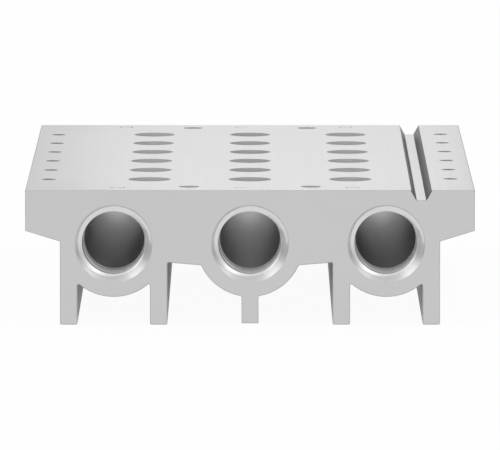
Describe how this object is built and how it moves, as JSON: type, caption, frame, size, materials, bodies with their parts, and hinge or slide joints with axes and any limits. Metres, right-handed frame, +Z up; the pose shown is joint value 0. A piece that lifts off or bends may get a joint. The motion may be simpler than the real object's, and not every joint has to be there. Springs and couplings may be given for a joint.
{
  "type": "valve manifold block",
  "caption": "Long aluminium manifold block with round galleries end to end, rows of valve passages and screw holes drilled in its flat top, and legs beneath.",
  "frame": {"origin": "middle of the footprint, level with the bottoms of the legs", "axes": "+X across the rail towards the grooved side, +Y along the galleries towards the back end, +Z up to the valve seat"},
  "size_m": [0.1306, 0.2004, 0.0393],
  "materials": {
    "aluminium": "satin light grey, natural anodised, with machined seat, ends and bores"
  },
  "bodies": {
    "root": {"manifold_block": "aluminium"}
  },
  "joints": []
}
